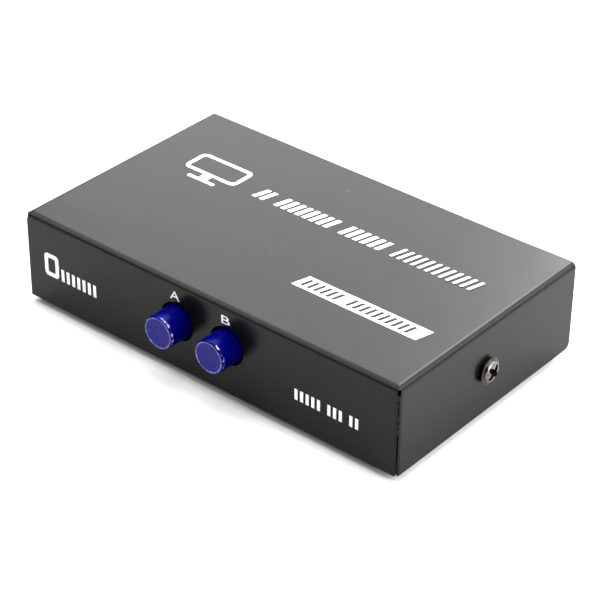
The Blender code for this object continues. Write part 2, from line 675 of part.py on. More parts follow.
def build_socket(name, x, tin, blue):
    """A stamped D shell over a moulded body with fifteen contact holes; local +Z points to the plug."""
    flange = 0.8 * MM
    seat = SHELL_FLANGE_REAR
    upright = Matrix.Rotation(math.pi, 4, "Z")
    place = facing("rear", (x, seat, SOCKET_Z)) @ upright
    bm = bmesh.new()
    add_prism(bm, box_outline(FLANGE.x, FLANGE.y, 1.5 * MM), -flange, 0)
    shell = add_object(f"socket_shell_{name}", bm, tin, place)
    skirt = bmesh.new()
    add_prism(skirt, d_outline(SHELL_D.x, SHELL_D.y, 2.4 * MM), -flange / 2, SHELL_LENGTH)
    combine(shell, add_object(f"skirt_{name}", skirt, place=place), "UNION")
    inner = SHELL_D - Vector((2, 2)) * SHELL_SHEET
    opening = bmesh.new()
    add_prism(opening, d_outline(inner.x, inner.y, 2.0 * MM), -2 * MM, SHELL_LENGTH + 2 * MM)
    combine(shell, add_object(f"skirt_opening_{name}", opening, place=place), "DIFFERENCE")
    combine(shell, add_object(f"shell_holes_{name}", jack_holes(HOLE_RADIUS), place=place), "DIFFERENCE")

    bm = bmesh.new()
    depth = 10 * MM
    back = -flange - GAP
    half_x, half_y = FLANGE.x / 2 - 0.1 * MM, FLANGE.y / 2
    add_block(bm, (-half_x, -half_y, back - depth), (half_x, half_y, back))
    body = add_object(f"socket_body_{name}", bm, blue, place)
    nose = bmesh.new()
    nose_outline = d_outline(inner.x - 0.5 * MM, inner.y - 0.5 * MM, 1.8 * MM)
    add_prism(nose, nose_outline, back - 1 * MM, SHELL_LENGTH - 0.2 * MM)
    combine(body, add_object(f"nose_{name}", nose, place=place), "UNION")
    holes = jack_holes(HOLE_RADIUS)
    for row in (-1, 0, 1):
        shift = CONTACT_PITCH / 2 if row == 0 else 0
        for column in range(-2, 3):
            hole = rod(0.6 * MM, SHELL_LENGTH - 4.5 * MM, SHELL_LENGTH + 1 * MM, 8)
            append(holes, hole, Matrix.Translation((column * CONTACT_PITCH + shift, row * CONTACT_ROWS, 0)))
    combine(body, add_object(f"contact_holes_{name}", holes, place=place), "DIFFERENCE")


def jack_holes(radius):
    holes = bmesh.new()
    for side in (-1, 1):
        beside = Matrix.Translation((side * JACK_SPACING / 2, 0, 0))
        append(holes, rod(radius, -20 * MM, 5 * MM, 12), beside)
    return holes


def build_jackscrew(name, x, steel):
    """A hex jackscrew: its shank holds the socket to the panel and its hex end takes the plug's screw."""
    place = facing("rear", (x, TRAY_REAR + GAP, SOCKET_Z))
    shank = 10 * MM
    bm = bmesh.new()
    add_prism(bm, regular_outline(2.74 * MM, 6), 0, JACK_LENGTH)
    screw = add_object(name, bm, steel, place)
    soften(screw, 0.2 * MM)
    stem = rod(SCREW_RADIUS, -shank, 1 * MM, 12)
    combine(screw, add_object(f"{name}_shank", stem, place=place), "UNION")
    bore = rod(1.3 * MM, JACK_LENGTH - 4 * MM, JACK_LENGTH + 1 * MM, 12)
    combine(screw, add_object(f"{name}_bore", bore, place=place), "DIFFERENCE")


def build_all():
    for obj in list(bpy.data.objects):
        bpy.data.objects.remove(obj)
    black_paint = make_material("black powder coat", (0.012, 0.012, 0.012), 0.45)
    blue = make_material("blue cap plastic", (0.010, 0.004, 0.30), 0.35)
    socket_blue = make_material("blue socket plastic", (0.012, 0.035, 0.30), 0.4)
    nickel = make_material("nickel plate", (0.62, 0.60, 0.56), 0.3, 1.0)
    tin = make_material("tin plate", (0.66, 0.66, 0.65), 0.32, 1.0)
    zinc = make_material("zinc plate", (0.56, 0.57, 0.58), 0.38, 1.0)
    rubber = make_material("black rubber", (0.02, 0.02, 0.02), 0.8)
    stem_white = make_material("white acetal", (0.75, 0.74, 0.70), 0.45)
    switch_black = make_material("black phenolic", (0.03, 0.03, 0.032), 0.5)
    laminate = make_material("circuit laminate", (0.02, 0.16, 0.06), 0.35)

    build_cover(black_paint)
    build_tray(black_paint)
    build_feet(rubber)
    build_side_screws(nickel)
    build_board(laminate)
    build_board_fasteners(zinc)
    bar_slide = add_slide("latch_slide", (0, BAR_FRONT, BUTTON_Z))
    build_latch(zinc, bar_slide)
    for name, x in button_middles():
        slide = add_slide(f"button_{name}_slide", (x, FRONT, BUTTON_Z))
        build_button(name, x, slide, blue, stem_white)
        build_housing(name, x, switch_black)
        spring_front = COLLAR_FRONT + COLLAR_THICKNESS + GAP
        place = facing("rear", (x, spring_front, BUTTON_Z))
        length = FRAME_Y - GAP - spring_front
        helix(f"return_spring_{name}", SPRING_RADIUS, SPRING_WIRE, length, 7, zinc, place)
    for name, x in socket_centres():
        build_socket(name, x, tin, socket_blue)
        for side, word in ((-1, "left"), (1, "right")):
            build_jackscrew(f"jackscrew_{name}_{word}", x + side * JACK_SPACING / 2, nickel)


build_all()
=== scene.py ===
"""The looks of a black steel video switch box with two blue push buttons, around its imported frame."""

import json
import math

import bmesh
import bpy
from mathutils import Matrix, Vector, noise


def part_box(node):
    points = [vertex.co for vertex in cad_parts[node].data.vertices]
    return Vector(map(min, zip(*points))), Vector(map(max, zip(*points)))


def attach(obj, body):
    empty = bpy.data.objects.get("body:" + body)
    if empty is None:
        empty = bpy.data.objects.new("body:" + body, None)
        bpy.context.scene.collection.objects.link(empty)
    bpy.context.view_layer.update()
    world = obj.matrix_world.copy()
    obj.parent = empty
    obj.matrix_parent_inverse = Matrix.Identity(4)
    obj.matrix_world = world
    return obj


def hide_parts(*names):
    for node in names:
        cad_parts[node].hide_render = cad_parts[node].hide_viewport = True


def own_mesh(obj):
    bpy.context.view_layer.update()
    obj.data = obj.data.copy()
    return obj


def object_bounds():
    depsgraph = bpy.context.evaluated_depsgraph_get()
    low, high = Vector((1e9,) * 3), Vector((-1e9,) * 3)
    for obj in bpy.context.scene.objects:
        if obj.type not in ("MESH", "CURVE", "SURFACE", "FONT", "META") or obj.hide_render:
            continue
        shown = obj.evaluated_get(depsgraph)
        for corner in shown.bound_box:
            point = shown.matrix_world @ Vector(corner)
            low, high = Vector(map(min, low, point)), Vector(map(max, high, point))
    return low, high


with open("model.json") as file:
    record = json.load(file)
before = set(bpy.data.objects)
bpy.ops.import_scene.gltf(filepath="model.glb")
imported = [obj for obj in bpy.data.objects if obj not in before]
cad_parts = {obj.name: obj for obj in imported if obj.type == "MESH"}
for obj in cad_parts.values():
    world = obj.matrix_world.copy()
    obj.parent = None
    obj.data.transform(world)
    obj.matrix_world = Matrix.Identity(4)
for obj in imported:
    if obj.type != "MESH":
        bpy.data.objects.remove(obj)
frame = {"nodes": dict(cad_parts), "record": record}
cad_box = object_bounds()

MM = 0.001
AXES = {
    "top": Matrix.Identity(4),
    "front": Matrix.Rotation(math.pi / 2, 4, "X"),
    "rear": Matrix.Rotation(math.pi, 4, "Z") @ Matrix.Rotation(math.pi / 2, 4, "X"),
    "right": Matrix.Rotation(math.pi / 2, 4, "Y"),
    "left": Matrix.Rotation(-math.pi / 2, 4, "Y"),
}
CASE_LOW, CASE_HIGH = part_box("top_cover")
CASE_MIDDLE = (CASE_LOW + CASE_HIGH) / 2
REAR_PANEL_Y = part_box("base_chassis")[1].y

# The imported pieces' gap to their neighbours, the screws' shank and the springs' wire (radii)
GAP = 0.3 * MM
SHANK_RADIUS = 1.4 * MM
RETURN_WIRE = 0.27 * MM
LATCH_WIRE = 0.16 * MM
SPRING_TURNS = 7

# The seam down the front right corner: its round, its gap and how far below the top its paint has pinholes
CORNER_RADIUS = 1.4 * MM
SEAM_GAP = 0.35 * MM
PINHOLES = [drop * MM for drop in (2.4, 4.8, 6.2, 7.2, 8.4, 11.0, 12.7, 15.2)]

# Paint, ink and floor
PAINT_DARK = (0.0018, 0.0019, 0.0017)
PAINT_LIGHT = (0.0036, 0.0037, 0.0034)
PAINT_TINT = (0.98, 1.0, 0.97)
PAINT_ROUGHNESS = 0.24
PAINT_SPECULAR = 0.15
INK_LIFT = 0.01 * MM
INK_THICKNESS = 0.025 * MM
PRINT_SLANT = 0.27
FLOOR_COLOUR = (0.60, 0.595, 0.585)
FLOOR_GLOW = 0.24
GLOW_FULL = 2.3 * MM

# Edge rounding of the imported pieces, by the start of their names
EDGE_ROUND = {"top_cover": 0.2 * MM, "base_chassis": 0.12 * MM, "foot": 0.25 * MM}
EDGE_ROUND_OTHERS = 0.05 * MM

# Camera: lens and angles, and its shift from the case's middle in its own axes
LENS = 128.916
CAMERA_TURN, CAMERA_TILT, CAMERA_ROLL = 39.704, 57.044, 0.55
CAMERA_SHIFT = Vector((1.191, -5.849, 586.771)) * MM

# Light: name, (place, width in metres, power in watts), and the sky's strength
SOFTBOXES = {
    "back_left": ((-0.50, 0.80, 0.65), 0.8, 10.3),
    "back_right": ((0.65, 0.75, 0.55), 0.8, 12.0),
    "overhead": ((0.0, 0.1, 1.2), 0.9, 13.3),
    "overhead_left": ((-0.60, 0.05, 0.95), 0.9, 10.7),
    "right": ((1.0, 0.2, 0.5), 0.8, 23.2),
    "front_left": ((-0.8, -0.8, 0.5), 0.8, 1.4),
    "front_left_high": ((-0.60, -0.65, 0.75), 0.9, 8.7),
    "back_low": ((0.1, 1.2, 0.35), 0.9, 6.0),
    "back_high": ((-0.2, 1.0, 1.1), 0.8, 22.6),
}
SKY = 0.02


# Material building blocks


class Surface:
    """A Principled material whose inputs are fed by procedural nodes, in the coordinates of the frame."""

    def __init__(self, name, metallic=0.0):
        self.material = bpy.data.materials.new(name)
        self.material.use_nodes = True
        self.tree = self.material.node_tree
        self.shader = self.tree.nodes["Principled BSDF"]
        self.set("Metallic", metallic)
        self.place = self.add("ShaderNodeTexCoord").outputs["Object"]

    def add(self, kind, inputs=(), **settings):
        node = self.tree.nodes.new(kind)
        for key, value in settings.items():
            setattr(node, key, value)
        for key, value in dict(inputs).items():
            self.feed(node.inputs[key], value)
        return node

    def feed(self, socket, value):
        if isinstance(value, bpy.types.NodeSocket):
            self.tree.links.new(value, socket)
        elif isinstance(value, tuple) and len(value) == 3 and socket.type == "RGBA":
            socket.default_value = (*value, 1)
        else:
            socket.default_value = value

    def set(self, name, value):
        self.feed(self.shader.inputs[name], value)

    def math(self, operation, first, second):
        return self.add("ShaderNodeMath", {0: first, 1: second}, operation=operation).outputs[0]

    def vector_math(self, operation, first, second=(0, 0, 0)):
        return self.add("ShaderNodeVectorMath", {0: first, 1: second}, operation=operation).outputs

    def stretched(self, scale):
        """The frame coordinates, scaled along each axis."""
        return self.add("ShaderNodeMapping", {"Vector": self.place, "Scale": scale}).outputs[0]

    def noise(self, size, detail=3.0, roughness=0.55, place=None):
        """Smooth noise between 0 and 1 whose features are about size metres wide."""
        inputs = {"Vector": place or self.place, "Scale": 1 / size, "Detail": detail, "Roughness": roughness}
        return self.add("ShaderNodeTexNoise", inputs).outputs["Fac"]

    def spread(self, value, low, high, to_low=0.0, to_high=1.0):
        """Maps low and high onto to_low and to_high, and goes no further."""
        inputs = {"Value": value, "From Min": low, "From Max": high, "To Min": to_low, "To Max": to_high}
        return self.add("ShaderNodeMapRange", inputs).outputs["Result"]

    def mix(self, factor, first, second):
        """Blends two colours, which a Mix node takes at its inputs 6 and 7."""
        node = self.add("ShaderNodeMix", data_type="RGBA")
        for key, value in ((0, factor), (6, first), (7, second)):
            self.feed(node.inputs[key], value)
        return node.outputs[2]

    def bump(self, height, distance, normal=None):
        """Turns a height between 0 and 1 into relief that is distance metres deep."""
        node = self.add("ShaderNodeBump", {"Height": height, "Distance": distance, "Strength": 1.0})
        if normal:
            self.feed(node.inputs["Normal"], normal)
        return node.outputs["Normal"]

    def specks(self, spacing, size, share):
        """A mask of small dots: one in a share of the Voronoi cells, which are spacing metres wide."""
        cells = self.add("ShaderNodeTexVoronoi", {"Vector": self.place, "Scale": 1 / spacing}).outputs
        chosen = self.add("ShaderNodeSeparateColor", {"Color": cells["Color"]}).outputs["Red"]
        near = self.spread(cells["Distance"], size / spacing, 0.6 * size / spacing)
        return self.math("MULTIPLY", near, self.math("LESS_THAN", chosen, share))


def powder_coat():
    """Thin black powder coat: a near-black base whose grey comes from its soft reflections."""
    s = Surface("powder_coat")
    smudge = s.noise(22 * MM, 4, 0.6, s.stretched((1, 1.6, 1)))
    mottle = s.noise(4 * MM, 4, 0.6)
    grain = s.noise(0.32 * MM, 2, 0.5)
    peel = s.noise(1.5 * MM, 2, 0.5)
    dust = s.specks(5.5 * MM, 0.13 * MM, 0.3)
    base = s.mix(s.spread(mottle, 0.3, 0.7), PAINT_DARK, PAINT_LIGHT)
    s.set("Base Color", s.mix(s.math("MULTIPLY", dust, 0.5), base, (0.5, 0.48, 0.44)))
    rough = s.spread(smudge, 0.3, 0.7, PAINT_ROUGHNESS - 0.035, PAINT_ROUGHNESS + 0.035)
    rough = s.math("ADD", rough, s.spread(mottle, 0.3, 0.7, -0.015, 0.015))
    s.set("Roughness", s.math("ADD", rough, s.math("MULTIPLY", dust, 0.3)))
    s.set("Specular IOR Level", PAINT_SPECULAR)
    s.set("Specular Tint", PAINT_TINT)
    s.set("Normal", s.bump(grain, 0.006 * MM, s.bump(peel, 0.006 * MM)))
    return s.material


def blue_plastic():
    """Deep blue moulded plastic; wear marks where handling has rubbed it pale, a painted highlight along the
    face's ridge, and a face painted a lighter blue as lit, where pressing leaves fewer dust specks.
    """
    s = Surface("blue_cap_plastic")
    wear_and_rim_highlight = s.add("ShaderNodeAttribute", attribute_name="wear_and_rim_highlight").outputs["Fac"]
    pressed_and_lit_face = s.add("ShaderNodeAttribute", attribute_name="pressed_and_lit_face").outputs["Fac"]
    fleck = s.spread(s.noise(1.0 * MM, 4, 0.75), 0.50, 0.60)
    settled = s.math("SUBTRACT", 0.5, s.math("MULTIPLY", pressed_and_lit_face, 0.42))
    dust = s.math("MULTIPLY", s.specks(1.6 * MM, 0.14 * MM, 0.25), settled)
    cloud = s.spread(s.noise(2.5 * MM, 3), 0.3, 0.7)
    # Painted light: the face takes a lighter blue than the sides, as lit from the bright floor in front;
    # fewer dust specks settle on the pressed face.
    base = s.mix(cloud, (0.0003, 0.0003, 0.070), (0.0006, 0.0005, 0.092))
    base = s.mix(pressed_and_lit_face, base, s.mix(cloud, (0.0010, 0.0008, 0.126), (0.0016, 0.0012, 0.160)))
    # Painted highlight: the ridge is pale all round as if lit along its rim; the ragged flecks and chips at
    # the upper right are wear.
    flecked = s.math("MULTIPLY", s.math("MULTIPLY", wear_and_rim_highlight, fleck), 1.1)
    rubbed_and_highlit = s.math("ADD", s.math("MULTIPLY", wear_and_rim_highlight, 0.45), flecked)
    base = s.mix(s.math("MINIMUM", rubbed_and_highlit, 1.0), base, (0.50, 0.47, 0.95))
    s.set("Base Color", s.mix(dust, base, (0.45, 0.45, 0.70)))
    s.set("Roughness", s.spread(s.noise(0.8 * MM), 0.3, 0.7, 0.20, 0.30))
    s.set("Specular IOR Level", s.math("ADD", 0.035, s.math("MULTIPLY", pressed_and_lit_face, 0.095)))
    s.set("Normal", s.bump(s.noise(0.35 * MM, 2), 0.004 * MM))
    return s.material


def white_ink():
    """Screen-printed ink: slightly uneven, with fine pinholes."""
    s = Surface("white_ink")
    pinholes = s.specks(0.5 * MM, 0.05 * MM, 0.25)
    base = s.mix(s.spread(s.noise(2 * MM), 0.3, 0.7), (0.80, 0.80, 0.79), (0.88, 0.88, 0.87))
    s.set("Base Color", s.mix(s.math("MULTIPLY", pinholes, 0.5), base, (0.2, 0.2, 0.2)))
    s.set("Roughness", s.spread(s.noise(0.6 * MM), 0.3, 0.7, 0.5, 0.65))
    s.set("Normal", s.bump(s.noise(0.2 * MM, 2), 0.004 * MM))
    return s.material


def moulded(name, dark, light, roughness, grain=0.3 * MM, relief=0.01 * MM, shine=0.5):
    """Plain moulded plastic or rubber: cloudy colour, fine grain and a few dust specks."""
    s = Surface(name)
    base = s.mix(s.spread(s.noise(3 * MM, 4), 0.3, 0.7), dark, light)
    dust = s.specks(2.5 * MM, 0.08 * MM, 0.3)
    s.set("Base Color", s.mix(s.math("MULTIPLY", dust, 0.4), base, (0.5, 0.48, 0.45)))
    s.set("Roughness", s.spread(s.noise(1.2 * MM), 0.3, 0.7, roughness - 0.06, roughness + 0.06))
    s.set("Specular IOR Level", shine)
    s.set("Normal", s.bump(s.noise(grain, 2), relief))
    return s.material


def plated(name, light, dull, roughness, stretch=(1, 1, 1), spots=0.5):
    """Plated metal: fine drawing lines, dulled patches and small dark spots."""
    s = Surface(name, metallic=1.0)
    patches = s.spread(s.noise(1.6 * MM, 4, 0.65), 0.35, 0.68)
    lines = s.noise(0.12 * MM, 2, 0.5, s.stretched(stretch))
    dots = s.math("MULTIPLY", s.specks(0.8 * MM, 0.06 * MM, 0.3), spots)
    base = s.mix(patches, light, dull)
    s.set("Base Color", s.mix(dots, base, tuple(0.3 * c for c in dull)))
    rough = s.spread(patches, 0, 1, roughness - 0.05, roughness + 0.1)
    s.set("Roughness", s.math("ADD", rough, s.spread(lines, 0.3, 0.7, -0.04, 0.04)))
    s.set("Normal", s.bump(lines, 0.003 * MM))
    return s.material


def laminate():
    """Green solder mask over copper tracks, with the woven glass faintly showing."""
    s = Surface("circuit_laminate")
    warp, weft = (s.noise(0.4 * MM, 1, 0.5, s.stretched(along)) for along in ((6, 1, 1), (1, 6, 1)))
    weave = s.math("MULTIPLY", warp, weft)
    rows = {"Scale": 1 / (2.54 * MM), "Mortar Size": 0.12, "Brick Width": 3.0, "Row Height": 0.5}
    blocks = s.add("ShaderNodeTexBrick", {"Vector": s.place, **rows}).outputs["Fac"]
    track = s.math("MULTIPLY", blocks, s.spread(s.noise(14 * MM, 0), 0.45, 0.5))
    base = s.mix(s.spread(weave, 0.15, 0.4), (0.012, 0.11, 0.045), (0.02, 0.16, 0.07))
    s.set("Base Color", s.mix(s.math("MULTIPLY", track, 0.8), base, (0.05, 0.26, 0.10)))
    s.set("Roughness", s.spread(weave, 0.15, 0.4, 0.22, 0.34))
    s.set("Normal", s.bump(track, 0.03 * MM))
    return s.material


def white_floor():
    """A pale floor that the camera sees glow a little, except in the case's contact shadow."""
    s = Surface("floor")
    s.set("Base Color", s.mix(s.noise(120 * MM), FLOOR_COLOUR, tuple(0.985 * c for c in FLOOR_COLOUR)))
    s.set("Roughness", s.spread(s.noise(3 * MM), 0.3, 0.7, 0.85, 0.95))
    s.set("Specular IOR Level", 0.1)
    from_middle = s.vector_math("ABSOLUTE", s.vector_math("SUBTRACT", s.place, CASE_MIDDLE)[0])[0]
    case_reach = (CASE_HIGH - CASE_LOW) / 2 + Vector((0, 0, 1))
    beside = s.vector_math("MAXIMUM", s.vector_math("SUBTRACT", from_middle, case_reach)[0])[0]
    away = s.vector_math("LENGTH", beside)["Value"]
    glow = s.math("MULTIPLY", s.spread(away, 0, GLOW_FULL), FLOOR_GLOW)
    seen = s.add("ShaderNodeLightPath").outputs["Is Camera Ray"]
    s.set("Emission Color", (1.0, 0.995, 0.985))
    s.set("Emission Strength", s.math("MULTIPLY", seen, glow))
    return s.material


PAINT = powder_coat()
BLUE = blue_plastic()
INK = white_ink()
NICKEL = plated("nickel_plate", (0.20, 0.198, 0.195), (0.065, 0.055, 0.038), 0.24)
# Painted shade: near-black with almost no shine, for the inside of the screws' cross recesses.
RECESS_SHADE = moulded("screw_recess_shade", (0.001, 0.001, 0.001), (0.003, 0.002, 0.002), 0.7, shine=0.02)
DULL_NICKEL = plated("dull_nickel", (0.060, 0.058, 0.054), (0.028, 0.024, 0.017), 0.40)
STEEL = plated("jackscrew_nickel", (0.62, 0.61, 0.58), (0.40, 0.37, 0.32), 0.26)
SPRING = plated("spring_steel", (0.60, 0.60, 0.61), (0.38, 0.37, 0.36), 0.25, (1, 8, 1))
GOLD = plated("gold_flash", (0.95, 0.70, 0.30), (0.80, 0.55, 0.22), 0.22)
NODE_MATERIALS = {
    "black_powder_coat": PAINT,
    "blue_cap_plastic": BLUE,
    "white_acetal": moulded("white_acetal", (0.70, 0.69, 0.64), (0.80, 0.79, 0.75), 0.38),
    "black_phenolic": moulded("black_phenolic", (0.018, 0.018, 0.020), (0.030, 0.030, 0.032), 0.45),
    "spring_steel": SPRING,
    "zinc_plate": plated("zinc_plate", (0.66, 0.67, 0.68), (0.45, 0.46, 0.47), 0.32, (8, 1, 1)),
    "nickel_plate": NICKEL,
    "tin_plate": plated("tin_plate", (0.72, 0.72, 0.71), (0.52, 0.52, 0.51), 0.30, (1, 6, 1)),
    "blue_socket_plastic": moulded("blue_socket_plastic", (0.004, 0.009, 0.07), (0.006, 0.013, 0.095), 0.42),
    "circuit_laminate": laminate(),
    "black_rubber": moulded(
        "black_rubber", (0.012, 0.012, 0.012), (0.022, 0.021, 0.020), 0.75, grain=0.25 * MM, relief=0.02 * MM
    ),
}


def dress_nodes():
    """Gives every CAD node its finish, rounded edges and normals that stay flat on flat faces."""
    slots = {row["node"]: row["material_slot"] for row in frame["record"]["subparts"]}
    smooth = bpy.data.node_groups.new("smooth_shading", "GeometryNodeTree")
    for direction in ("INPUT", "OUTPUT"):
        smooth.interface.new_socket("Geometry", in_out=direction, socket_type="NodeSocketGeometry")
    start, end = smooth.nodes.new("NodeGroupInput"), smooth.nodes.new("NodeGroupOutput")
    shade = smooth.nodes.new("GeometryNodeSetShadeSmooth")
    smooth.links.new(start.outputs[0], shade.inputs["Geometry"])
    smooth.links.new(shade.outputs[0], end.inputs[0])
    for name, node in frame["nodes"].items():
        node.material_slots[0].link = "OBJECT"
        node.material_slots[0].material = NODE_MATERIALS[slots[name]]
        weld = node.modifiers.new("weld", "WELD")
        weld.merge_threshold = 0.001 * MM
        clean = node.modifiers.new("clean", "DECIMATE")
        clean.decimate_type = "DISSOLVE"
        clean.angle_limit = math.radians(0.5)
        round_over = node.modifiers.new("round_over", "BEVEL")
        widths = [width for prefix, width in EDGE_ROUND.items() if name.startswith(prefix)]
        round_over.width = widths[0] if widths else EDGE_ROUND_OTHERS
        round_over.segments = 3
        round_over.angle_limit = math.radians(32)
        node.modifiers.new("smooth", "NODES").node_group = smooth
        weights = node.modifiers.new("weights", "WEIGHTED_NORMAL")
        weights.keep_sharp = False


# Shape helpers


def turn(axis, degrees):
    return Matrix.Rotation(math.radians(degrees), 4, axis)


def add_piece(name, bm, material, body="case", stands_for=(), crease=35):
    """Makes a shown piece from a bmesh in the frame's coordinates; it rides on a body."""
    bmesh.ops.recalc_face_normals(bm, faces=bm.faces)
    mesh = bpy.data.meshes.new(name)
    bm.to_mesh(mesh)
    bm.free()
    mesh.materials.append(material)
    mesh.shade_smooth()
    mesh.set_sharp_from_angle(angle=math.radians(crease))
    piece = bpy.data.objects.new(name, mesh)
    bpy.context.scene.collection.objects.link(piece)
    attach(piece, body)
    if stands_for:
        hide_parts(*stands_for)
    return piece


def turned(profile, steps):
    """A bmesh of a profile of (radius, height) points spun about +Z."""
    bm = bmesh.new()
    points = [bm.verts.new((radius, 0, height)) for radius, height in profile]
    edges = [bm.edges.new(pair) for pair in zip(points, points[1:])]
    bmesh.ops.spin(bm, geom=points + edges, axis=(0, 0, 1), cent=(0, 0, 0), angle=math.tau, steps=steps)
    bmesh.ops.remove_doubles(bm, verts=bm.verts, dist=0.0005 * MM)
    return bm


def arc(centre, radius, start, end, steps):
    """Points of an arc about a centre, angles in degrees."""
    turns = [math.radians(start + (end - start) * step / steps) for step in range(steps + 1)]
    return [(centre[0] + radius * math.cos(t), centre[1] + radius * math.sin(t)) for t in turns]


def lofted(rings):
    """A closed bmesh through rings of points, all with the same count."""
    bm = bmesh.new()
    loops = [[bm.verts.new(point) for point in ring] for ring in rings]
    count = len(loops[0])
    for loop, after in zip(loops, loops[1:]):
        for index in range(count):
            beside = (index + 1) % count
            bm.faces.new((loop[index], loop[beside], after[beside], after[index]))
    bm.faces.new(loops[0])
    bm.faces.new(loops[-1])
    bmesh.ops.recalc_face_normals(bm, faces=bm.faces)
    return bm


def absorb(target, source):
    """Moves one bmesh into another."""
    mesh = bpy.data.meshes.new("absorbed")
    source.to_mesh(mesh)
    source.free()
    target.from_mesh(mesh)
    bpy.data.meshes.remove(mesh)


def carved(base, cutter, operation="DIFFERENCE"):
    """One bmesh cut by (or joined with) another; both are used up."""
    objects = []
    for name, bm in (("base", base), ("cutter", cutter)):
        bmesh.ops.recalc_face_normals(bm, faces=bm.faces)
        mesh = bpy.data.meshes.new(name)
        bm.to_mesh(mesh)
        bm.free()
        objects.append(bpy.data.objects.new(name, mesh))
        bpy.context.scene.collection.objects.link(objects[-1])
    modifier = objects[0].modifiers.new("carve", "BOOLEAN")
    modifier.operation = operation
    modifier.object = objects[1]
    bpy.context.view_layer.update()
    graph = bpy.context.evaluated_depsgraph_get()
    result = bmesh.new()
    result.from_mesh(objects[0].evaluated_get(graph).to_mesh())
    for obj in objects:
        bpy.data.meshes.remove(obj.data)
    return result


def rectangle(left, low, right, high, slant=0.0):
    """A rectangle, or a parallelogram whose top is shifted by slant times its height."""
    shift = slant * (high - low)
    return [(left, low), (right, low), (right + shift, high), (left + shift, high)]


def round_rectangle(left, low, right, high, radius):
    points = []
    corners = ((right, high, 0), (left, high, 90), (left, low, 180), (right, low, 270))
    for x, y, start in corners:
        centre = (x - radius if x == right else x + radius, y - radius if y == high else y + radius)
        points += arc(centre, radius, start, start + 90, 5)
    return points


# Print on the panels. Places are in millimetres from the case's front left corner: to the right, then up
# on the front and back on the top.


def thin_solid(curve, bm):
    """Adds a filled flat curve, given the ink's thickness, to a bmesh in millimetres."""
    curve.extrude = INK_THICKNESS / MM / 2
    holder = bpy.data.objects.new("ink", curve)
    mesh = bpy.data.meshes.new_from_object(holder)
    bpy.data.objects.remove(holder)
    bm.from_mesh(mesh)
    bpy.data.meshes.remove(mesh)
    bmesh.ops.remove_doubles(bm, verts=bm.verts, dist=0.0005)


def ink_shapes(shapes):
    """Thin flat solids, one for each shape: an outline and the outlines of its holes."""
    bm = bmesh.new()
    for outlines in shapes:
        curve = bpy.data.curves.new("shape", "CURVE")
        curve.dimensions = "2D"
        curve.fill_mode = "BOTH"
        for outline in outlines:
            spline = curve.splines.new("POLY")
            spline.points.add(len(outline) - 1)
            spline.points.foreach_set("co", [value for x, y in outline for value in (x, y, 0, 1)])
            spline.use_cyclic_u = True
        thin_solid(curve, bm)
    return bm


def ink_letter(letter, centre, width, height):
    """A plain capital, scaled to a width and height about its centre."""
    curve = bpy.data.curves.new("letter", "FONT")
    curve.body = letter
    bm = bmesh.new()
    thin_solid(curve, bm)
    xs, ys = [v.co.x for v in bm.verts], [v.co.y for v in bm.verts]
    middle = Vector(((min(xs) + max(xs)) / 2, (min(ys) + max(ys)) / 2, 0))
    scale = Vector((width / (max(xs) - min(xs)), height / (max(ys) - min(ys)), 1))
    for vert in bm.verts:
        vert.co = (vert.co - middle) * scale + Vector((*centre, 0))
    return bm


def lay_ink(name, side, bm):
    """Lays a thin flat bmesh in millimetres on the front or the top."""
    for vert in bm.verts:
        across, along, lift = vert.co * MM
        lift += INK_LIFT + INK_THICKNESS / 2
        if side == "front":
            vert.co = (CASE_LOW.x + across, CASE_LOW.y - lift, CASE_LOW.z + along)
        else:
            vert.co = (CASE_LOW.x + across, CASE_LOW.y + along, CASE_HIGH.z + lift)
    add_piece(name, bm, INK)


def bars(left, low, high, groups, width, gap, group_gap, slant=0.0):
    """A row of equal upright bars; groups holds how many stand together."""
    outlines, x = [], left
    for count in groups:
        for _ in range(count):
            outlines.append([rectangle(x, low, x + width, high, slant)])
            x += width + gap
        x += group_gap - gap
    return outlines


def screen_icon(left, low, width, height, line):
    """A plain screen on a stand."""
    right, high = left + width, low + height
    glass_low = low + 0.28 * height
    middle = left + width / 2
    stand = rectangle(middle - 0.08 * width, low + line + 0.3, middle + 0.08 * width, glass_low - 0.3)
    foot = round_rectangle(middle - 0.26 * width, low, middle + 0.26 * width, low + line, 0.45 * line)
    outer = round_rectangle(left, glass_low, right, high, 1.6 * line)
    inner = round_rectangle(left + line, glass_low + line, right - line, high - line, 0.8 * line)
    return [[outer, inner], [stand], [foot]]


def print_panels():
    """The letters over the buttons, and plain shapes where the case has its other print."""
    lay_ink("print_letter_a", "front", ink_letter("A", centre=(55.7, 22.7), width=3.3, height=2.6))
    lay_ink("print_letter_b", "front", ink_letter("B", centre=(73.5, 22.6), width=2.9, height=2.45))
    icon = screen_icon(left=15.5, low=43.5, width=19, height=13, line=1.2)
    lay_ink("print_screen", "top", ink_shapes(icon))
    low, high = 46.9, 52.2
    title = bars(41.5, low, high, (2, 8, 6), width=1.45, gap=1.05, group_gap=3.9, slant=PRINT_SLANT)
    title += bars(90.0, low, high, (12,), width=0.95, gap=1.36, group_gap=0, slant=PRINT_SLANT)
    lay_ink("print_title_bars", "top", ink_shapes(title))
    label = [rectangle(79.3, 19.3, 119.8, 25.1, PRINT_SLANT)]
    for hole in bars(81.1, 20.3, 24.1, (6, 10), width=1.2, gap=0.9, group_gap=3.3, slant=PRINT_SLANT):
        label += hole
    lay_ink("print_label", "top", ink_shapes([label]))
    plug = [round_rectangle(6.6, 9.4, 12.0, 16.6, 1.2), round_rectangle(7.9, 10.7, 10.7, 15.3, 0.6)]
    front_bars = bars(13.0, 9.5, 13.3, (7,), width=1.1, gap=0.93, group_gap=0)
    lay_ink("print_front_bars", "front", ink_shapes([plug] + front_bars))
    dashes = bars(96.8, 8.7, 12.0, (5, 3, 2), width=1.0, gap=0.85, group_gap=2.4)
    lay_ink("print_front_dashes", "front", ink_shapes(dashes))


# Buttons


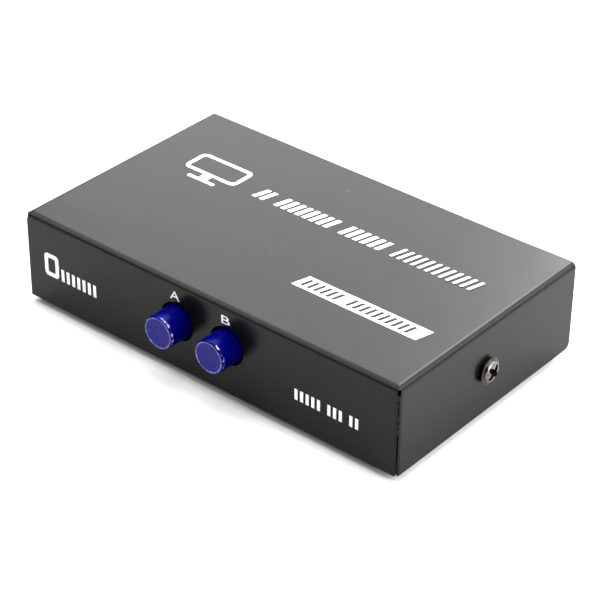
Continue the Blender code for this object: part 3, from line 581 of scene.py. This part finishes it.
def shape_cap(letter):
    """A moulded cap: a shallow dished face in a thin ridge, and a round shoulder chipped by handling."""
    node = f"button_cap_{letter}"
    low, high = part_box(node)
    centre = Vector(((low.x + high.x) / 2, low.y, (low.z + high.z) / 2))
    radius, length = (high.x - low.x) / 2, high.y - low.y
    face, shoulder = radius - 0.12 * MM, 0.5 * MM
    ridge = face - shoulder
    dish_radius, dish_rim, dish_depth = ridge - 0.14 * MM, -0.1 * MM, 0.06 * MM
    shares = (0, 0.3, 0.6, 0.8, 0.92, 1)
    dish = [(dish_radius * share, dish_rim - dish_depth * (1 - share**2)) for share in shares]
    rise = [(ridge - 0.09 * MM, -0.05 * MM), (ridge - 0.05 * MM, -0.01 * MM)]
    rounded = arc((ridge, -shoulder), shoulder, 90, 0, 9)
    side = [(face + 0.01 * MM, -shoulder * step) for step in (1.1, 1.25, 1.45, 1.8, 2.4, 3.2)]
    bore_radius, bore_end = 0.62 * radius, -0.75 * length
    side += [(radius, -length), (bore_radius, -length)]
    bore = [(bore_radius, bore_end), (0, bore_end)]
    bm = turned(dish + rise + rounded + side + bore, 220)
    wear_and_rim_highlight, pressed_and_lit_face = bm.verts.layers.float.new("wear_and_rim_highlight"), bm.verts.layers.float.new("pressed_and_lit_face")
    noise_shift = Vector((7 if letter == "a" else 31, 0, 0))
    for vert in bm.verts:
        out = math.hypot(vert.co.x, vert.co.y)
        angle = math.degrees(math.atan2(vert.co.y, vert.co.x))
        ragged = noise.noise(vert.co / (0.9 * MM) + noise_shift)
        on_ridge = math.exp(-(((out - ridge) / (0.11 * MM)) ** 2)) * (vert.co.z > -0.2 * MM)
        handled = math.exp(-(((angle - 30) / 45) ** 4))
        at_side = math.exp(-(((vert.co.z + shoulder) / (0.22 * MM)) ** 2)) * (out > ridge)
        chipped = handled * at_side * min(1, max(0, 3.5 * ragged + 0.6))
        # Painted highlight: a pale line all round the ridge, as if it caught the light; the ragged chips at
        # the upper right are wear.
        vert[wear_and_rim_highlight] = min(1, on_ridge * (0.55 + 1.6 * handled * max(0, ragged)) + chipped)
        # Marks the face, which the material paints a lighter blue as lit and keeps freer of dust.
        vert[pressed_and_lit_face] = float(out < ridge)
        vert.co.z += 0.04 * MM * on_ridge * max(0, ragged)
    bm.transform(Matrix.Translation(centre) @ AXES["front"])
    add_piece(f"cap_{letter}", bm, BLUE, f"button_{letter}", (node,), crease=50)


def coil(name, node, axis, wire):
    """A coil spring with closed flat ends that fills its CAD node along an axis: 0 for X, 1 for Y."""
    low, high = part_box(node)
    centre, length = (low + high) / 2, (high - low)[axis]
    radius = (high - low)[axis - 1] / 2 - wire
    sides, steps = 10, 28
    around = [math.tau * side / sides for side in range(sides)]
    closed_pitch = 2.1 * wire
    open_length = length - 2 * wire - 2 * closed_pitch
    rings = []
    for index in range(SPRING_TURNS * steps + 1):
        turned_by = index / steps
        climb = min(max((turned_by - 1) / (SPRING_TURNS - 2), 0), 1)
        closed = min(turned_by, 1) + max(turned_by - SPRING_TURNS + 1, 0)
        height = wire + closed_pitch * closed + climb * open_length - length / 2
        out = Vector((math.cos(math.tau * turned_by), math.sin(math.tau * turned_by), 0))
        middle = out * radius + Vector((0, 0, height))
        rings.append([middle + out * wire * math.cos(t) + Vector((0, 0, wire * math.sin(t))) for t in around])
    bm = lofted(rings)
    facing = turn("X", -90) if axis == 1 else turn("Y", 90)
    bm.transform(Matrix.Translation(centre) @ facing)
    return add_piece(name, bm, SPRING, "case", (node,), crease=60)


def wind_springs():
    """The two buttons' return springs and the latch bar's spring."""
    springs = (
        ("coil_a", "return_spring_a", "button_a_press", 1, RETURN_WIRE),
        ("coil_b", "return_spring_b", "button_b_press", 1, RETURN_WIRE),
        ("coil_latch", "latch_spring", "latch_slide", 0, LATCH_WIRE),
    )
    for name, node, joint, axis, wire in springs:
        low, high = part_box(node)
        along, anchor = [0, 0, 0], [0, 0, 0]
        along[axis], anchor[axis] = 1, high[axis]
        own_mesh(coil(name, node, axis, wire))


# Fasteners


def cross_recess(span, width, depth):
    """The cutter of a cross recess: four tapering wings that meet in a small pit, opening at height 0."""
    half, reach, fillet = width / 2, span / 2, 0.28 * width
    levels = ((0.6 * depth, 1.3, 1.05), (0, 1, 1), (-0.75 * depth, 0.62, 0.82), (-depth, 0.3, 0.5))
    rings = []
    for height, spread, narrow in levels:
        wing = arc((reach * spread - half * narrow * 0.6, 0), half * narrow, -60, 60, 4)
        inner = (half + fillet) * narrow
        corner = arc((inner, inner), fillet * narrow, 270, 180, 3)
        ring = []
        for quarter in range(4):
            ring += [turn("Z", 90 * quarter) @ Vector((x, y, height)) for x, y in wing + corner]
        rings.append(ring)
    return lofted(rings)


def shape_side_screw(side):
    """A washer-head screw with a domed head and a cross recess painted near-black as shade; its flange
    narrows at the case.
    """
    node = f"side_screw_{side}"
    low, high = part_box(node)
    flange, head = (high.z - low.z) / 2, 2.1 * MM
    seat = high.x - head if side == "right" else low.x + head
    centre = Vector((seat, (low.y + high.y) / 2, (low.z + high.z) / 2))
    dome, shoulder, thick, soft = 2.95 * MM, 1.25 * MM, 0.9 * MM, 0.1 * MM
    turns = [math.radians(6 * step) for step in range(16)]
    crown = [(dome * math.sin(t), shoulder + (head - shoulder) * math.cos(t)) for t in turns]
    fillet = arc((dome + soft, thick + soft), soft, 180, 270, 3)
    rim = arc((flange - soft, thick - soft), soft, 80, -25, 4)
    tip, point = 6.5 * MM, 0.6 * MM
    under = [(flange - 0.5 * MM, 0), (SHANK_RADIUS, 0), (SHANK_RADIUS, point - tip), (point, -tip), (0, -tip)]
    cutter = cross_recess(4.5 * MM, 1.4 * MM, 1.3 * MM)
    cutter.transform(Matrix.Translation((0, 0, head - 0.2 * MM)) @ turn("Z", 45))
    bm = carved(turned(crown + fillet + rim + under, 96), cutter)
    for face in bm.faces:
        middle = face.calc_center_median()
        out = math.hypot(middle.x, middle.y) / dome
        if out < 0.8:
            surface = shoulder + (head - shoulder) * math.sqrt(1 - out**2)
            # Painted shade: the faces inside the cross recess take the near-black recess material.
            face.material_index = int(0 < middle.z < surface - 0.06 * MM)
        elif out > 1.01 and middle.z > thick - soft:
            face.material_index = 2
    bm.transform(Matrix.Translation(centre) @ AXES[side])
    screw = add_piece(f"washer_screw_{side}", bm, NICKEL, "case", (node,), crease=30)
    screw.data.materials.append(RECESS_SHADE)
    screw.data.materials.append(DULL_NICKEL)


def shape_jackscrew(name):
    """A hex jackscrew with a chamfered end and a threaded bore."""
    node = f"jackscrew_{name}"
    low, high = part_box(node)
    length = high.y - REAR_PANEL_Y - GAP
    corner_radius = (high.x - low.x) / 2
    flat, depth, pitch, bore = corner_radius * math.cos(math.pi / 6), 4 * MM, 0.55 * MM, 1.3 * MM
    hexagon = arc((0, 0), corner_radius, 0, 300, 5)
    prism = lofted([[Vector((x, y, height)) for x, y in hexagon] for height in (0, length)])
    chamfer = (corner_radius - flat) * math.tan(math.radians(30)) + 0.1 * MM
    wide = corner_radius + 1 * MM
    cone = [(0, length), (flat - 0.15 * MM, length), (corner_radius + 0.05 * MM, length - chamfer)]
    hull = turned(cone + [(wide, length - chamfer - 1 * MM), (wide, -1 * MM), (0, -1 * MM)], 72)
    nut = carved(prism, hull, "INTERSECT")
    thread_start = length - 0.15 * MM
    thread = [(0, length + 1 * MM), (bore + 0.35 * MM, length + 0.35 * MM), (bore, thread_start)]
    for groove in range(int(depth / pitch) - 1):
        top = thread_start - groove * pitch
        thread += [(bore + 0.16 * MM, top - 0.5 * pitch), (bore, top - pitch)]
    bm = carved(nut, turned(thread + [(0, thread[-1][1] - 0.5 * MM)], 40))
    end = low.y - REAR_PANEL_Y
    shank = turned([(0, 0), (SHANK_RADIUS, 0), (SHANK_RADIUS, end), (0, end - GAP)], 32)
    shank.transform(Matrix.Translation((0, 0, 0.05 * MM)))
    bm = carved(bm, shank, "UNION")
    place = Vector(((low.x + high.x) / 2, high.y - length, (low.z + high.z) / 2))
    bm.transform(Matrix.Translation(place) @ AXES["rear"])
    add_piece(f"hex_post_{name}", bm, STEEL, "case", (node,), crease=30)


# Sockets and seams


def line_contacts(name):
    """Fifteen gilded sleeves in the socket's contact holes: three rows of five, the middle one offset."""
    low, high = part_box(f"socket_body_{name}")
    centre_x, centre_z = (low.x + high.x) / 2, (low.z + high.z) / 2
    pitch, row_pitch = 2.29 * MM, 1.98 * MM
    outer, inner, depth = 0.55 * MM, 0.4 * MM, 3.6 * MM
    mouth = [(inner, -depth), (inner, -0.14 * MM), (inner + 0.08 * MM, 0), (outer - 0.02 * MM, 0)]
    profile = mouth + [(outer, -0.03 * MM), (outer, -depth), (inner, -depth)]
    bm = bmesh.new()
    for row in (-1, 0, 1):
        for column in range(-2, 3):
            sleeve = turned(profile, 20)
            x = centre_x - column * pitch - (pitch / 2 if row == 0 else 0)
            place = Vector((x, high.y - 0.12 * MM, centre_z + row * row_pitch))
            sleeve.transform(Matrix.Translation(place) @ AXES["rear"])
            absorb(bm, sleeve)
    add_piece(f"contacts_{name}", bm, GOLD)


def bridge_seam():
    """Paint that has closed the upper half of the right corner's seam, but for a row of pinholes."""
    across, out, up = Vector((1, 1, 0)).normalized(), Vector((1, -1, 0)).normalized(), Vector((0, 0, 1))
    corner = Vector((CASE_HIGH.x, CASE_LOW.y, CASE_HIGH.z))
    skin = 0.12 * MM
    middle = corner - out * (CORNER_RADIUS * (math.sqrt(2) - 1) + skin)
    around = [math.tau * step / 14 for step in range(14)]
    bm = bmesh.new()
    for above, below in zip(PINHOLES, PINHOLES[1:]):
        centre = middle - up * (above + below) / 2
        rings = []
        for step in range(-4, 5):
            share = step / 4
            tall = (below - above) / 2 + 0.03 * MM - 0.34 * MM * (1 - share**4)
            wall = centre + across * share * (SEAM_GAP / 2 + 0.08 * MM) - out * 0.05 * MM * (1 - share**2)
            rings.append([wall + up * tall * math.sin(t) + out * skin * (math.cos(t) - 1) for t in around])
        absorb(bm, lofted(rings))
    foot = [middle + across * x * MM + out * (y - 0.9) * MM for x, y in rectangle(-0.4, -0.3, 0.4, 0.3)]
    heights = [CASE_LOW.z - CASE_HIGH.z + height * MM for height in (0.02, 4.0)]
    absorb(bm, lofted([[point + up * height for point in foot] for height in heights]))
    add_piece("seam_paint", bm, PAINT)


# Stage: camera, floor and light


def place_camera():
    """A view from the front right, 33 degrees up, through a long lens that focuses on the buttons."""
    data = bpy.data.cameras.new("camera")
    data.sensor_width = 36
    data.lens = LENS
    data.clip_start, data.clip_end = 0.05, 20
    camera = bpy.data.objects.new("camera", data)
    bpy.context.scene.collection.objects.link(camera)
    view = turn("Z", CAMERA_TURN) @ turn("X", CAMERA_TILT) @ turn("Z", CAMERA_ROLL)
    camera.matrix_world = Matrix.Translation(CASE_MIDDLE) @ view @ Matrix.Translation(CAMERA_SHIFT)
    data.dof.use_dof = True
    data.dof.focus_distance = -(camera.matrix_world.inverted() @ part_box("button_cap_b")[0]).z
    data.dof.aperture_fstop = 64
    bpy.context.scene.camera = camera


def lay_floor():
    bm = bmesh.new()
    bmesh.ops.create_grid(bm, x_segments=2, y_segments=2, size=6)
    mesh = bpy.data.meshes.new("floor")
    bm.to_mesh(mesh)
    bm.free()
    mesh.materials.append(white_floor())
    floor = bpy.data.objects.new("floor", mesh)
    bpy.context.scene.collection.objects.link(floor)
    floor.location.z = cad_box[0].z


def hang_lights():
    for name, (location, size, energy) in SOFTBOXES.items():
        data = bpy.data.lights.new(name, "AREA")
        data.size = size
        data.energy = energy
        light = bpy.data.objects.new(name, data)
        bpy.context.scene.collection.objects.link(light)
        light.location = location
        light.rotation_mode = "QUATERNION"
        light.rotation_quaternion = (-Vector(location)).to_track_quat("-Z", "Y")
        light.visible_camera = False
    world = bpy.data.worlds.new("studio")
    world.use_nodes = True
    world.node_tree.nodes["Background"].inputs["Color"].default_value = (1, 1, 1, 1)
    world.node_tree.nodes["Background"].inputs["Strength"].default_value = SKY
    bpy.context.scene.world = world
    bpy.context.scene.view_settings.view_transform = "Standard"


dress_nodes()
print_panels()
for letter in ("a", "b"):
    shape_cap(letter)
for side in ("left", "right"):
    shape_side_screw(side)
for socket in ("input_b", "input_a", "output"):
    line_contacts(socket)
    for side in ("left", "right"):
        shape_jackscrew(f"{socket}_{side}")
bridge_seam()
wind_springs()
place_camera()
lay_floor()
hang_lights()
